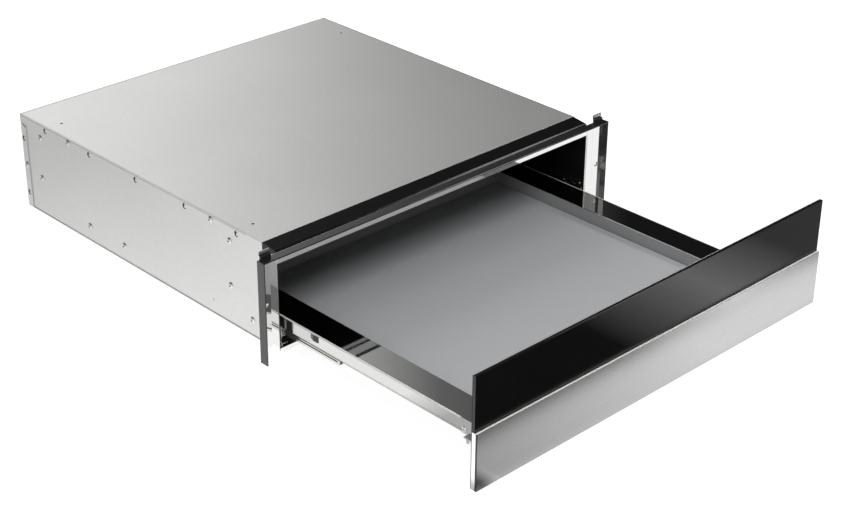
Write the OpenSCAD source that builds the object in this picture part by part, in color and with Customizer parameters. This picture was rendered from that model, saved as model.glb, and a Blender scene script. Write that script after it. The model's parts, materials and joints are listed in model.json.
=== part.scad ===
// Built-in warming drawer: a sheet-metal housing with a polished front frame, a push-to-open drawer on
// ball runners, a hot-air unit behind the lining, and a front of black glass over brushed steel.
// The drawer is drawn pulled out by drawer_open. X is across, +Y is to the back, +Z is up, and the
// origin is the centre of the housing's base.

/* [Housing] */
// Width over the covers
body_w = 534; // [524:1:544]
// Depth from the frame's face to the rear cover
body_d = 535; // [525:1:545]
// Height from the base to the top cover
body_h = 135; // [132:1:140]
// Gauge of the housing's sheets
sheet = 0.8; // [0.6:0.1:1]
// Height of the top cover's folds over the sides
cover_fold = 12.5; // [10:0.5:15]
// Depth of the rear cover's folds over the sides
rear_fold = 12; // [10:0.5:14]
// Pitch of the half-moon punches along the folds
punch_pitch = 100.5; // [95:0.5:105]
// Radius of a half-moon punch
punch_r = 2.6; // [2:0.1:3]

/* [Front frame] */
// How far the frame stands out past the covers on each side
frame_over = 27.5; // [26:0.5:29]
// Gauge of the frame
frame_gauge = 1; // [0.8:0.1:1.2]
// How far the frame's top edge lies below the top cover
frame_set = 4; // [3:0.5:5]
// How far the side strips hang below the base
frame_drop = 4; // [3:0.5:6]
// How far the lips stand forward of the frame's face
frame_lip = 11; // [9:0.5:12]
// Height of the top strip's face
top_strip_h = 14.5; // [14:0.5:16]
// Height of the bottom rail's face
rail_h = 6.5; // [6:0.5:7]
// Height of the tabs above the frame
tab_h = 10.5; // [8:0.5:12]
// Depth of the rounded trim behind the top strip
trim_d = 25; // [20:1:28]
// Height of the fixing holes in the side strips
fixing_z = 69; // [60:1:80]
// Radius of the fixing holes
fixing_r = 2.25; // [2:0.05:2.5]

/* [Drawer] */
// How far the drawer is drawn pulled out
drawer_open = 332; // [300:1:345]
// Gap between the housing's outside and the drawer's skirt
drawer_gap = 11.5; // [11:0.5:13]
// Room behind the closed drawer for the latch and the mains connection
rear_room = 66; // [60:1:72]
// Height of the ledges above the base
ledge_z = 41; // [40:0.5:43]
// Height of the skirts
skirt_h = 16.2; // [15:0.2:17]
// Width of the side ledges
ledge_w = 39; // [38:0.5:42]
// Depth of the tray below the ledges
tray_deep = 18; // [16:0.5:20]
// Width of the front ledge, which carries the control
front_ledge = 42; // [40:1:50]
// Thickness of the anti-slip mat
mat_t = 1.5; // [1:0.1:2]
// Height of the insulation under the tray
wool_h = 12; // [10:0.5:13]

/* [Front panel] */
// How far the panel reaches past the frame on each side
panel_over = 2.5; // [1:0.5:4]
// Height of the panel
panel_h = 140; // [138:1:142]
// How far the panel reaches below the base
panel_drop = 3; // [2:0.5:5]
// Height of the steel part
steel_h = 71.4; // [60:0.2:80]
// Thickness of the glass
glass_t = 4; // [3:0.5:5]
// How far the steel stands proud of the glass
steel_proud = 3.6; // [3:0.1:4]
// Gauge of the plate behind the panel
backing_t = 1.2; // [1:0.1:1.5]
// Gap between the closed panel and the frame's lips
panel_gap = 4; // [3.5:0.5:6]

/* [Runner] */
// Height of the fixed member
run_h = 27; // [26:0.5:28]
// Thickness of the closed runner
run_t = 10; // [10:0.1:10.6]
// Gauge of the members
run_gauge = 1.2; // [1.1:0.05:1.25]
// Height of the runner's centre above the base
run_z = 22; // [21:0.5:23]
// Radius of a ball
ball_r = 1.6; // [1.5:0.05:1.65]
// Depth that a ball sits in each track
track_d = 0.3; // [0.2:0.05:0.35]
// Length of the fixed and drawer members
run_l = 450; // [440:1:455]
// Length of the intermediate member
middle_l = 400; // [390:1:410]
// Balls in one row of the outer cages
outer_balls_n = 7; // [5:1:9]
// Balls in one row of the inner cages
inner_balls_n = 5; // [4:1:6]

/* [Hot air and control] */
// Radius of the fan wheel
fan_r = 23; // [20:1:24]
// Blades on the fan wheel
blades = 9; // [6:1:11]
// Radius of the ring heater's centre line
ring_r = 30; // [29:0.5:31]
// Radius of the temperature knob
knob_r = 12; // [10:0.5:13]
// Height of the temperature knob
knob_h = 13; // [11:0.5:15]
// Radius of the power button
button_r = 6; // [5:0.5:7]
// Travel of the power button
button_travel = 2; // [1.5:0.5:2]
// Travel of the latch plunger
latch_travel = 2.5; // [2:0.5:3]

/* [Hidden] */
$fn = 48;

// Overrun of every cut
cut = 1;

// Housing
side_out = body_w / 2 - sheet;
side_in = side_out - sheet;
trim_y = frame_gauge + trim_d;
seam_z = body_h - cover_fold;
back_in = body_d - sheet;
screw_r = 3.4;
screw_h = 1.9;
shank_r = 1.5;
shank_l = 4;
shank_gap = 0.1;
punch_low = 6.6;
punch_first = 73;
punch_n = floor((body_d - rear_fold - punch_first) / punch_pitch) + 1;
fold_screw_low = 6;
fold_screw_shares = [0.23, 0.79];
// Screws on each side as shares of the housing's depth and height
side_screw_shares = [[0.166, 0.837], [0.168, 0.389], [0.917, 0.84], [0.926, 0.396]];
rear_punch_shares = [0.156, 0.748];
rear_screw_share = 0.46;
pilot_hole_r = 1;
// Small open hole on each side as shares of the housing's depth and height
pilot_share = [0.235, 0.144];
top_hole_r = 1.6;
top_hole_in = 22;
top_hole_ends = 66;
slot_w = 4;
slot_l = 40;
slot_pitch = 12;
slot_n = 9;
// Rows of cooling slots in the base as shares of the housing's depth
slot_row_shares = [0.78, 0.9];

// Front frame
frame_w = body_w + frame_over * 2;
frame_top = body_h - frame_set;
strip_in = body_w / 2 - sheet / 2;
strip_out = frame_w / 2;
mouth_top = frame_top - top_strip_h;
corner_h = 2;
block_w = 15;
block_h = 5;
block_t = 3;
block_in = 2.5;
rail_d = 12;
rail_drop = 3;
// Trim: drop of its top, radius of its nose, and its underside from front to rear
trim_drop = 2.6;
trim_top = body_h - trim_drop;
nose_r = 5;
nose_n = 8;
nose_y = frame_gauge + nose_r;
trim_under = [[frame_gauge, frame_top - nose_r], [frame_gauge + sheet, frame_top - nose_r],
    [nose_y, trim_top - nose_r], [trim_y - nose_r, frame_top - top_strip_h - sheet + nose_r],
    [trim_y, frame_top - top_strip_h - sheet + nose_r]];

// Lining
liner_low = 36;
hot_air_room = 115;
liner_end = body_d - hot_air_room;
lid_gap = 3;
ceiling_z = mouth_top;
wall_top = ceiling_z - sheet;
back_low = ledge_z + lid_gap;
grille_pitch = 9;
grille_slot = 4;
grille_r = 27;
vent_x = 150;
vent_l = 50;
vent_n = 5;
vent_pitch = 10;

// Hot-air unit
fan_z = (back_low + wall_top) / 2;
cowl_x = 48;
cowl_d = 29;
cowl_flange = 8;
cowl_in = 1.2;
cowl_y = liner_end + sheet;
cowl_end = cowl_y + cowl_d;
ring_tube = 3;
ring_gap = 55;
stud_r = 1.8;
stud_turn = 8;
stud_angle = ring_gap / 2 + stud_turn;
ring_in = 12;
ring_y = cowl_y + ring_in;
shaft_r = 2.5;
shaft_fit = 0.05;
shaft_in = 6;
shaft_front = cowl_y + shaft_in;
motor_r = 19;
motor_l = 30;
shaft_reach = 18;
shaft_end = cowl_end + shaft_reach;
boss_r = 9;
boss_l = 3;
wheel_in = 8;
wheel_y = cowl_y + wheel_in;
wheel_w = 14;
disc_t = 1;
hub_r = 6;
blade_t = 0.8;
lamination = 26;
lamination_h = 27;
lamination_y = 8;
lamination_l = 14;
cutout_r = 8;
cutout_h = 6;
cutout_x = 36;
tag_w = 6;
tag_h = 7;
tag_t = 0.8;

// Mains connection
mains_in = 82;
mains_out = body_w / 2 - mains_in;
mains_z = 36;
gland_r = 9;
gland_hole = 4.5;
gland_out = 9;
gland_in = 9;
gland_neck = 7;
gland_fit = 0.1;
block_lx = 46;
block_ly = 20;
block_lz = 17;
block_back = 34;
way_n = 3;
way_r = 3.2;
way_deep = 9;

// Runner
drawer_w = body_w - drawer_gap * 2;
bracket_t = 1.2;
skirt_gap = 1.5;
rail_x = drawer_w / 2 - sheet - skirt_gap - bracket_t;
run_gap = 2;
run_y = rail_d + run_gap;
ball_gap = 0.05;
ball_u = run_t * 0.62;
flange_in = 1;
flange_u = run_t - flange_in;
web_gap = 0.5;
middle_u = run_gauge + web_gap;
recess_d = 0.9;
recess_h = 4.4;
outer_v = run_h / 2 - run_gauge - ball_r + track_d;
middle_v = outer_v - ball_r + track_d;
inner_v = middle_v - run_gauge - ball_r + track_d;
inner_half = inner_v - ball_r + track_d;
cage_t = 0.3;
cage_gap = 0.1;
cage_w = 0.5;
cage_in = 1;
cage_end = flange_u - cage_in;
cage_rim = 8;
inner_cage_u = middle_u + recess_d + run_gauge + cage_gap;
inner_flange_u = inner_cage_u + cage_t + cage_gap * 2;
// The intermediate member and the cages run at these shares of the drawer's travel
middle_share = 0.3;
outer_share = middle_share / 2;
inner_share = (1 + middle_share) / 2;
middle_out = 2;
middle_y = run_y - middle_out;
drawer_run_y = 6;
outer_cage_l = 200;
outer_cage_in = 60;
outer_cage_y = run_y + outer_cage_in;
inner_cage_l = 120;
inner_cage_in = 158;
inner_cage_y = run_y + inner_cage_in;
// Runner screws as shares of the fixed member's length
runner_screw_shares = [0.081, 0.66, 0.83];
runner_screw_ys = [for (share = runner_screw_shares) run_y + run_l * share];
runner_screw_z = 21;
bracket_h = 33;

// Drawer, drawn closed
panel_back = -(frame_lip + panel_gap);
carrier_t = 1;
deck_y = panel_back + carrier_t;
deck_end = body_d - rear_room;
deck_low = ledge_z - sheet;
skirt_z = ledge_z - skirt_h;
tray_x = drawer_w / 2 - ledge_w;
tray_front = deck_y + front_ledge;
rear_ledge = 20;
tray_back = deck_end - rear_ledge;
tray_rim = 7;
tray_floor = ledge_z - tray_deep;
tray_low = tray_floor - sheet;
mat_gap = 2;
mat_corner = 4;
wool_in = 1.5;
bottom_z = tray_low - wool_h;
bottom_gap = 1;
bottom_x = tray_x + bottom_gap;
bottom_end = 4;
rail_leg_x = rail_x - run_t;
// Notches in the deck's rear skirt, through which it passes over the runners
notch_gap = 0.5;
notch_top = run_z + run_h / 2 + notch_gap;
drawer_rail_t = 1;
drawer_rail_z = 12;
drawer_rail_top = 15;
drawer_rail_in = 4;
drawer_rail_y = deck_y + drawer_rail_in;
drawer_rail_end = deck_end - drawer_rail_in;
pan_step = 2;
pan_step_z = drawer_rail_z + pan_step;
pan_leg_h = 12;
wing_l = 56;
wing_low = 22;
carrier_top = 60;
peg_tab = 5.5;
peg_r = 2.2;
peg_l = 6;
peg_tip = 1;
peg_back = 41;
drawer_screw_back = 50;
drawer_screw_z = 28.5;
drawer_screw_r = 2.6;
drawer_screw_h = 1.2;

// Front panel
panel_w = frame_w + panel_over * 2;
glass_back = panel_back - backing_t;
glass_front = glass_back - glass_t;
steel_front = glass_front - steel_proud;
panel_low = -panel_drop;
panel_top = panel_low + panel_h;
steel_top = panel_low + steel_h;
backing_in = sheet / 2;
buffer_r = 4.5;
buffer_t = 1.5;
buffer_tip = 1;
// Heights of the buffers as shares of the panel's height
buffer_shares = [0.17, 0.83];

// Control
box_w = 105;
box_in = 20.5;
box_x = drawer_w / 2 - box_in - box_w;
box_d = 32;
box_h = 15;
box_wall = 1.5;
plate_t = 1;
plate_in = 1;
knob_in = 24;
knob_x = box_x + box_w - knob_in;
button_in = 34;
button_x = box_x + button_in;
lamp_in = 14;
lamp_x = box_x + lamp_in;
control_in = 1;
control_y = deck_y + box_d / 2 + control_in;
plate_z = ledge_z + box_h;
knob_gap = 0.5;
knob_z = plate_z + plate_t + knob_gap;
knob_shaft = 3;
knob_shaft_l = 8;
knob_fit = 0.08;
knob_grips = 20;
grip_r = 0.8;
button_fit = 0.3;
button_up = 3.5;
button_l = 8;
lamp_r = 2.5;
lamp_up = 1.2;
lamp_l = 6;

// Latch
latch_x = 14;
latch_z = 33;
latch_top = 41;
latch_low = 24;
latch_gap = 0.5;
latch_room = 12;
latch_y = deck_end + latch_room;
latch_l = 36;
foot_t = 1.5;
foot_l = 14;
plunger_r = 3;
plunger_head = 5;
plunger_head_t = 3;
plunger_in = 16;
plunger_spare = 0.5;
plunger_room = latch_travel + plunger_spare;

// Helpers
module box(low, high) {
    translate(low) cube(high - low);
}

module rect(x0, x1, z0, z1) {
    translate([x0, z0]) square([x1 - x0, z1 - z0]);
}

// A bent sheet of gauge t along a centre line of right angles
module fold_line(points, t) {
    for (i = [0 : len(points) - 2]) {
        a = points[i];
        b = points[i + 1];
        rect(min(a.x, b.x) - t / 2, max(a.x, b.x) + t / 2, min(a.y, b.y) - t / 2, max(a.y, b.y) + t / 2);
    }
}

// Outline in X and Z, drawn out along Y
module along_y(y0, y1) {
    translate([0, y1, 0]) rotate([90, 0, 0]) linear_extrude(y1 - y0) children();
}

// Outline in Y and Z, drawn out along X
module along_x(x0, x1) {
    translate([x0, 0, 0]) rotate([90, 0, 90]) linear_extrude(x1 - x0) children();
}

module both_sides() {
    children();
    mirror([1, 0, 0]) children();
}

// Places are written from the middle of the frame's face
module from_mouth() {
    translate([0, -body_d / 2, 0]) children();
}

// Pieces that move with the drawer, by their share of its travel
module pulled(share = 1) {
    translate([0, -drawer_open * share, 0]) from_mouth() children();
}

module dome_screw(r, h, length) {
    ball = (r * r + h * h) / (2 * h);
    rotate_extrude() intersection() {
        translate([0, h - ball]) circle(ball, $fn = 96);
        square([r, h]);
    }
    translate([0, 0, -length]) cylinder(h = length + h / 2, r = shank_r);
}

module facing_side() {
    rotate([0, 90, 0]) children();
}

module half_moon() {
    facing_side() intersection() {
        cylinder(h = cut * 2, r = punch_r, center = true);
        translate([-punch_r, -punch_r, -cut]) cube([punch_r, punch_r * 2, cut * 2]);
    }
}

// Housing
module base_plate() {
    color("silver") from_mouth() difference() {
        box([-body_w / 2, frame_gauge, 0], [body_w / 2, back_in, sheet]);
        for (share = slot_row_shares, i = [0 : slot_n - 1])
            translate([(i - (slot_n - 1) / 2) * slot_pitch * 3, body_d * share, 0])
                slot_cut();
    }
}

module slot_cut() {
    translate([0, 0, -cut]) linear_extrude(sheet + cut * 2) {
        square([slot_w, slot_l - slot_w], center = true);
        for (end = [-1, 1]) translate([0, end * (slot_l - slot_w) / 2]) circle(slot_w / 2);
    }
}

module bottom_front_rail() {
    half = frame_gauge / 2;
    face_top = rail_h - rail_drop - half;
    color("gainsboro") from_mouth() along_x(-side_in, side_in)
        fold_line([[half, half - rail_drop], [half, face_top], [rail_d - half, face_top],
            [rail_d - half, sheet * 2 + half]], frame_gauge);
}

module side_sheet() {
    from_mouth() difference() {
        along_y(frame_gauge, back_in)
            fold_line([[side_in - punch_first / 5, sheet * 1.5], [side_in + sheet / 2, sheet * 1.5],
                [side_in + sheet / 2, body_h - sheet * 1.5]], sheet);
        along_x(side_in - cut, side_out + cut)
            polygon(concat([[trim_y, body_h], [frame_gauge - cut, body_h], [frame_gauge - cut,
                frame_top - nose_r]], trim_under));
        for (p = side_screw_shares) side_hole(body_d * p.x, body_h * p.y);
        for (y = runner_screw_ys) side_hole(y, runner_screw_z);
        for (share = fold_screw_shares) side_hole(body_d * share, body_h - fold_screw_low);
        side_hole(body_d - rear_fold / 2, body_h * rear_screw_share);
        translate([side_in, body_d * pilot_share.x, body_h * pilot_share.y])
            facing_side() cylinder(h = cut * 4, r = pilot_hole_r, center = true);
    }
}

module side_hole(y, z) {
    translate([side_in, y, z]) facing_side() cylinder(h = cut * 4, r = shank_r + shank_gap, center = true);
}

module left_side() {
    color("gainsboro") mirror([1, 0, 0]) side_sheet();
}

module right_side() {
    color("gainsboro") side_sheet();
}

module top_cover() {
    edge = body_w / 2 - sheet / 2;
    color("silver") from_mouth() difference() {
        along_y(trim_y, back_in)
            fold_line([[-edge, seam_z + sheet / 2], [-edge, body_h - sheet / 2], [edge, body_h - sheet / 2],
                [edge, seam_z + sheet / 2]], sheet);
        both_sides() {
            for (i = [0 : punch_n - 1])
                translate([edge, punch_first + i * punch_pitch, body_h - punch_low]) half_moon();
            for (share = fold_screw_shares)
                translate([sheet, 0, 0]) side_hole(body_d * share, body_h - fold_screw_low);
            for (y = [trim_y + top_hole_ends * 2 / 3, body_d - top_hole_ends])
                translate([edge - top_hole_in, y, body_h])
                    cylinder(h = cut * 4, r = top_hole_r, center = true);
        }
    }
}

module rear_cover() {
    edge = body_w / 2 - sheet / 2;
    color("gainsboro") from_mouth() difference() {
        union() {
            box([-body_w / 2, back_in, 0], [body_w / 2, body_d, body_h]);
            both_sides() along_x(side_out, body_w / 2)
                polygon([[back_in, sheet], [back_in, seam_z], [body_d - sheet * 2, seam_z],
                    [body_d - rear_fold, seam_z - rear_fold / 2], [body_d - rear_fold, sheet]]);
        }
        both_sides() {
            for (share = rear_punch_shares)
                translate([edge, body_d - rear_fold / 2, body_h * share]) half_moon();
            translate([sheet, 0, 0]) side_hole(body_d - rear_fold / 2, body_h * rear_screw_share);
        }
        translate([-mains_out, body_d, mains_z]) rotate([90, 0, 0])
            cylinder(h = cut * 4, r = gland_neck + gland_fit, center = true);
        for (row = [0 : vent_n - 1]) translate([0, body_d, fan_z + (row - (vent_n - 1) / 2) * vent_pitch])
            cube([vent_l * 2, cut * 4, grille_slot], center = true);
    }
}

// Side strip with its forward lip
module side_strip() {
    from_mouth() difference() {
        union() {
            box([strip_in, 0, -frame_drop], [strip_out, frame_gauge, frame_top - corner_h]);
            box([strip_out - frame_gauge, -frame_lip, -frame_drop],
                [strip_out, frame_gauge, frame_top - corner_h]);
        }
        translate([strip_in + (strip_out - strip_in) * 2 / 3, 0, fixing_z]) rotate([90, 0, 0])
            cylinder(h = cut * 4, r = fixing_r, center = true);
    }
}

module frame_strip_left() {
    color("lightgray") mirror([1, 0, 0]) side_strip();
}

module frame_strip_right() {
    color("lightgray") side_strip();
}

// Top strip: face, forward lip, ends that run over the side strips, and two tabs
module frame_strip_top() {
    color("whitesmoke") from_mouth() {
        along_y(0, frame_gauge) {
            rect(-strip_out, strip_out, frame_top - corner_h, frame_top);
            rect(-strip_in, strip_in, mouth_top, frame_top);
            both_sides()
                rect(strip_out - block_in - block_w, strip_out - block_in, frame_top - corner_h,
                    frame_top + tab_h);
        }
        box([-strip_out, -frame_lip, frame_top - frame_gauge], [strip_out, frame_gauge / 2, frame_top]);
    }
}

module frame_corner_blocks() {
    color("black") from_mouth() both_sides()
        box([strip_out - block_in - block_w, -block_t, frame_top],
            [strip_out - block_in, 0, frame_top + block_h]);
}

// Rounded trim between the top strip and the top cover
module air_deflector() {
    color("black") from_mouth() along_x(-side_out, side_out)
        polygon(concat([[trim_y, body_h]],
            [for (i = [0 : nose_n]) let (a = 90 + 90 * i / nose_n)
                [nose_y + nose_r * cos(a), trim_top - nose_r + nose_r * sin(a)]],
            trim_under));
}

// Lining
module liner_side() {
    from_mouth() box([side_in - sheet, frame_gauge, liner_low], [side_in, liner_end + sheet, wall_top]);
}

module liner_left() {
    color("dimgray") mirror([1, 0, 0]) liner_side();
}

module liner_right() {
    color("dimgray") liner_side();
}

module liner_ceiling() {
    color("dimgray") from_mouth()
        box([-side_in, frame_gauge, wall_top], [side_in, liner_end + sheet, ceiling_z]);
}

module liner_back() {
    color("dimgray") from_mouth() difference() {
        box([-side_in + sheet, liner_end, back_low], [side_in - sheet, liner_end + sheet, wall_top]);
        for (i = [-2 : 2]) let (z = i * grille_pitch, half = sqrt(grille_r * grille_r - z * z))
            translate([0, liner_end, fan_z + z]) cube([half * 2, cut * 4, grille_slot], center = true);
        for (side = [-1, 1], i = [-1 : 1])
            translate([side * vent_x, liner_end, fan_z + i * grille_pitch])
                cube([vent_l, cut * 4, grille_slot], center = true);
    }
}

module insulation_top() {
    color("khaki") from_mouth() box([-side_in, trim_y, ceiling_z], [side_in, liner_end, body_h - sheet]);
}

// Hot-air unit
module fan_cowl() {
    low = back_low + cowl_in;
    high = wall_top - cowl_in;
    color("gainsboro") from_mouth() difference() {
        union() {
            box([-cowl_x, cowl_y, low], [cowl_x, cowl_end, high]);
            box([-cowl_x - cowl_flange, cowl_y, low], [cowl_x + cowl_flange, cowl_y + sheet, high]);
        }
        box([-cowl_x + sheet, cowl_y - cut, low + sheet], [cowl_x - sheet, cowl_end - sheet, high - sheet]);
        translate([0, cowl_end, fan_z]) rotate([90, 0, 0])
            cylinder(h = cut * 4, r = shaft_r * 2, center = true);
        for (side = [-1, 1])
            translate([side * ring_r * sin(stud_angle), cowl_end, fan_z - ring_r * cos(stud_angle)])
                rotate([90, 0, 0]) cylinder(h = cut * 4, r = stud_r + shank_gap, center = true);
    }
}

// Ring element with two ends led back through the cowl
module ring_heater() {
    color("slategray") from_mouth() translate([0, ring_y, fan_z]) {
        rotate([90, 0, 0]) rotate([0, 0, -90 + ring_gap / 2])
            rotate_extrude(angle = 360 - ring_gap) translate([ring_r, 0]) circle(ring_tube);
        for (side = [-1, 1]) translate([side * ring_r * sin(stud_angle), 0, -ring_r * cos(stud_angle)])
            rotate([-90, 0, 0]) cylinder(h = cowl_end - ring_y + cowl_flange, r = stud_r);
    }
}

module fan_motor() {
    color("dimgray") from_mouth() translate([0, cowl_end, fan_z]) difference() {
        union() {
            rotate([-90, 0, 0]) cylinder(h = motor_l, r = motor_r);
            box([-lamination, lamination_y, -lamination_h],
                [lamination, lamination_y + lamination_l, lamination_h]);
            translate([0, motor_l, 0]) rotate([-90, 0, 0]) cylinder(h = boss_l, r = boss_r);
        }
        translate([0, -cut, 0]) rotate([-90, 0, 0])
            cylinder(h = shaft_end - cowl_end + shaft_r + cut, r = shaft_r + shaft_fit);
    }
}

module fan_shaft() {
    color("silver") from_mouth() translate([0, shaft_front, fan_z]) rotate([-90, 0, 0])
        cylinder(h = shaft_end - shaft_front, r = shaft_r);
}

// Wheel with a back disc and swept blades
module fan_wheel() {
    color("lightgray") from_mouth() translate([0, wheel_y, fan_z]) rotate([-90, 0, 0]) difference() {
        union() {
            cylinder(h = wheel_w, r = hub_r);
            translate([0, 0, wheel_w - disc_t]) cylinder(h = disc_t, r = fan_r);
            for (i = [0 : blades - 1]) rotate([0, 0, i * 360 / blades])
                translate([hub_r * 0.7, hub_r * 0.5, 0])
                    cube([fan_r - hub_r * 1.1, blade_t, wheel_w - disc_t / 2]);
        }
        translate([0, 0, -cut]) cylinder(h = wheel_w + cut * 2, r = shaft_r);
    }
}

module thermal_cutout() {
    color("tan") from_mouth() translate([cutout_x, cowl_end, fan_z]) {
        rotate([-90, 0, 0]) cylinder(h = cutout_h, r = cutout_r);
        for (side = [-1, 1])
            translate([side * cutout_r / 2 - tag_w / 2, cutout_h, -tag_t / 2]) cube([tag_w, tag_h, tag_t]);
    }
}

// Mains connection
module terminal_block() {
    y = back_in - block_back;
    color("ivory") from_mouth() difference() {
        box([-mains_out - block_lx / 2, y - block_ly / 2, sheet], [-mains_out + block_lx / 2, y + block_ly / 2,
            sheet + block_lz]);
        for (i = [0 : way_n - 1])
            translate([-mains_out + (i - (way_n - 1) / 2) * block_lx / way_n, y, sheet + block_lz - way_deep])
                cylinder(h = way_deep + cut, r = way_r);
    }
}

// Gland: neck through the rear cover, collar outside and nut inside
module cable_gland() {
    color("black") from_mouth() translate([-mains_out, body_d, mains_z]) rotate([-90, 0, 0]) difference() {
        union() {
            translate([0, 0, -sheet - gland_in]) cylinder(h = gland_in + sheet + gland_out, r = gland_neck);
            cylinder(h = gland_out, r = gland_r);
            translate([0, 0, -sheet - gland_in / 2]) cylinder(h = gland_in / 2, r = gland_r + cut, $fn = 6);
        }
        translate([0, 0, -sheet - gland_in - cut])
            cylinder(h = gland_in + sheet + gland_out + cut * 2, r = gland_hole);
    }
}

// Touch latch behind the drawer, standing on the base
module latch_body() {
    color("dimgray") from_mouth() difference() {
        union() {
            box([-latch_x, latch_y, latch_low], [latch_x, latch_y + latch_l, latch_top]);
            box([-latch_x, latch_y + latch_l - foot_t, sheet], [latch_x, latch_y + latch_l, latch_low]);
            box([-latch_x, latch_y + latch_l - foot_l, sheet], [latch_x, latch_y + latch_l, sheet + foot_t]);
        }
        translate([0, latch_y - cut, latch_z]) rotate([-90, 0, 0])
            cylinder(h = plunger_in + plunger_room + cut, r = plunger_r + shaft_fit);
    }
}

module latch_plunger() {
    color("white") from_mouth() translate([0, deck_end + latch_gap, latch_z]) rotate([-90, 0, 0]) {
        cylinder(h = plunger_head_t, r = plunger_head);
        cylinder(h = latch_y + plunger_in - deck_end - latch_gap, r = plunger_r);
    }
}

module housing_screws() {
    color("white") from_mouth() both_sides() {
        for (p = side_screw_shares)
            translate([side_out, body_d * p.x, body_h * p.y])
                facing_side() dome_screw(screw_r, screw_h, sheet);
        for (share = fold_screw_shares)
            translate([body_w / 2, body_d * share, body_h - fold_screw_low])
                facing_side() dome_screw(screw_r, screw_h, sheet * 2);
        translate([body_w / 2, body_d - rear_fold / 2, body_h * rear_screw_share])
            facing_side() dome_screw(screw_r, screw_h, sheet * 2);
    }
}

module runner_screws() {
    color("white") from_mouth() both_sides() for (y = runner_screw_ys)
        translate([side_out, y, runner_screw_z])
            facing_side() dome_screw(screw_r, screw_h, shank_l);
}

// Runner bracket: a channel whose inner leg carries the runner and in which the drawer's skirt runs
module runner_bracket() {
    half = bracket_t / 2;
    from_mouth() difference() {
        along_y(run_y, run_y + run_l)
            fold_line([[side_in - half, bracket_h], [side_in - half, sheet * 2 + half],
                [rail_x + half, sheet * 2 + half], [rail_x + half, bracket_h]], bracket_t);
        for (y = runner_screw_ys) side_hole(y, runner_screw_z);
    }
}

module runner_bracket_left() {
    color("lightgray") mirror([1, 0, 0]) runner_bracket();
}

module runner_bracket_right() {
    color("lightgray") runner_bracket();
}

// Runner profiles: x from the fixed member's outer face towards the drawer, y from the runner's centre
module member(y0, y1) {
    translate([rail_x, 0, run_z]) mirror([1, 0, 0]) along_y(y0, y1) children();
}

module tracks(v) {
    for (side = [-1, 1]) translate([ball_u, side * v]) circle(ball_r + ball_gap);
}

module cabinet_profile() {
    difference() {
        rect(0, flange_u, -run_h / 2, run_h / 2);
        rect(run_gauge, flange_u + cut, run_gauge - run_h / 2, run_h / 2 - run_gauge);
        tracks(outer_v);
    }
}

module middle_profile() {
    difference() {
        union() for (side = [0, 1]) mirror([0, side]) {
            rect(middle_u, flange_u, middle_v - run_gauge, middle_v);
            rect(middle_u, middle_u + run_gauge, recess_h - run_gauge, middle_v);
            rect(middle_u, middle_u + recess_d + run_gauge, recess_h - run_gauge, recess_h);
            rect(middle_u + recess_d, middle_u + recess_d + run_gauge, 0, recess_h);
        }
        tracks(outer_v);
        tracks(inner_v);
    }
}

module drawer_profile() {
    difference() {
        rect(inner_flange_u, run_t, -inner_half, inner_half);
        rect(inner_flange_u - cut, run_t - run_gauge, run_gauge - inner_half, inner_half - run_gauge);
        tracks(inner_v);
    }
}

module cage_profile(u, v) {
    rect(u, u + cage_t, -v - cage_w / 2, v + cage_w / 2);
    for (side = [-1, 1]) rect(u, cage_end, side * v - cage_w / 2, side * v + cage_w / 2);
}

// Places of a row of balls in a cage
function ball_ys(y0, l, n) = [for (i = [0 : n - 1]) y0 + cage_rim + (l - cage_rim * 2) * i / (n - 1)];

module ball_rows(ys, v) {
    for (y = ys, side = [-1, 1]) translate([rail_x - ball_u, y, run_z + side * v]) children();
}

module cage(u, v, y0, l, n) {
    difference() {
        member(y0, y0 + l) cage_profile(u, v);
        ball_rows(ball_ys(y0, l, n), v) cylinder(h = cage_w + cut, r = ball_r + cage_gap, center = true);
    }
}

module cabinet_member() {
    from_mouth() member(run_y, run_y + run_l) cabinet_profile();
}

module middle_member() {
    pulled(middle_share) member(middle_y, middle_y + middle_l) middle_profile();
}

module drawer_member() {
    pulled() member(drawer_run_y, drawer_run_y + run_l) drawer_profile();
}

module cabinet_member_left() {
    color("silver") mirror([1, 0, 0]) cabinet_member();
}

module cabinet_member_right() {
    color("silver") cabinet_member();
}

module middle_member_left() {
    color("lightgray") mirror([1, 0, 0]) middle_member();
}

module middle_member_right() {
    color("lightgray") middle_member();
}

module drawer_member_left() {
    color("silver") mirror([1, 0, 0]) drawer_member();
}

module drawer_member_right() {
    color("silver") drawer_member();
}

module outer_cages() {
    color("goldenrod") pulled(outer_share) both_sides()
        cage(run_gauge + cage_gap, outer_v, outer_cage_y, outer_cage_l, outer_balls_n);
}

module outer_balls() {
    color("white") pulled(outer_share) both_sides()
        ball_rows(ball_ys(outer_cage_y, outer_cage_l, outer_balls_n), outer_v) sphere(ball_r);
}

module inner_cages() {
    color("goldenrod") pulled(inner_share) both_sides()
        cage(inner_cage_u, inner_v, inner_cage_y, inner_cage_l, inner_balls_n);
}

module inner_balls() {
    color("white") pulled(inner_share) both_sides()
        ball_rows(ball_ys(inner_cage_y, inner_cage_l, inner_balls_n), inner_v) sphere(ball_r);
}

// Drawer
module drawer_deck() {
    half = drawer_w / 2;
    color("silver") pulled() difference() {
        box([-half, deck_y, skirt_z], [half, deck_end, ledge_z]);
        box([-half + sheet, deck_y + sheet, skirt_z - cut], [half - sheet, deck_end - sheet, deck_low]);
        box([-tray_x, tray_front, deck_low - cut], [tray_x, tray_back, ledge_z + cut]);
        both_sides() box([rail_leg_x - notch_gap, deck_end - sheet - cut, skirt_z - cut],
            [half - sheet, deck_end + cut, notch_top]);
        both_sides() translate([half, deck_y + drawer_screw_back, drawer_screw_z]) facing_side()
            cylinder(h = cut * 4, r = shank_r + shank_gap, center = true);
    }
}

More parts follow.
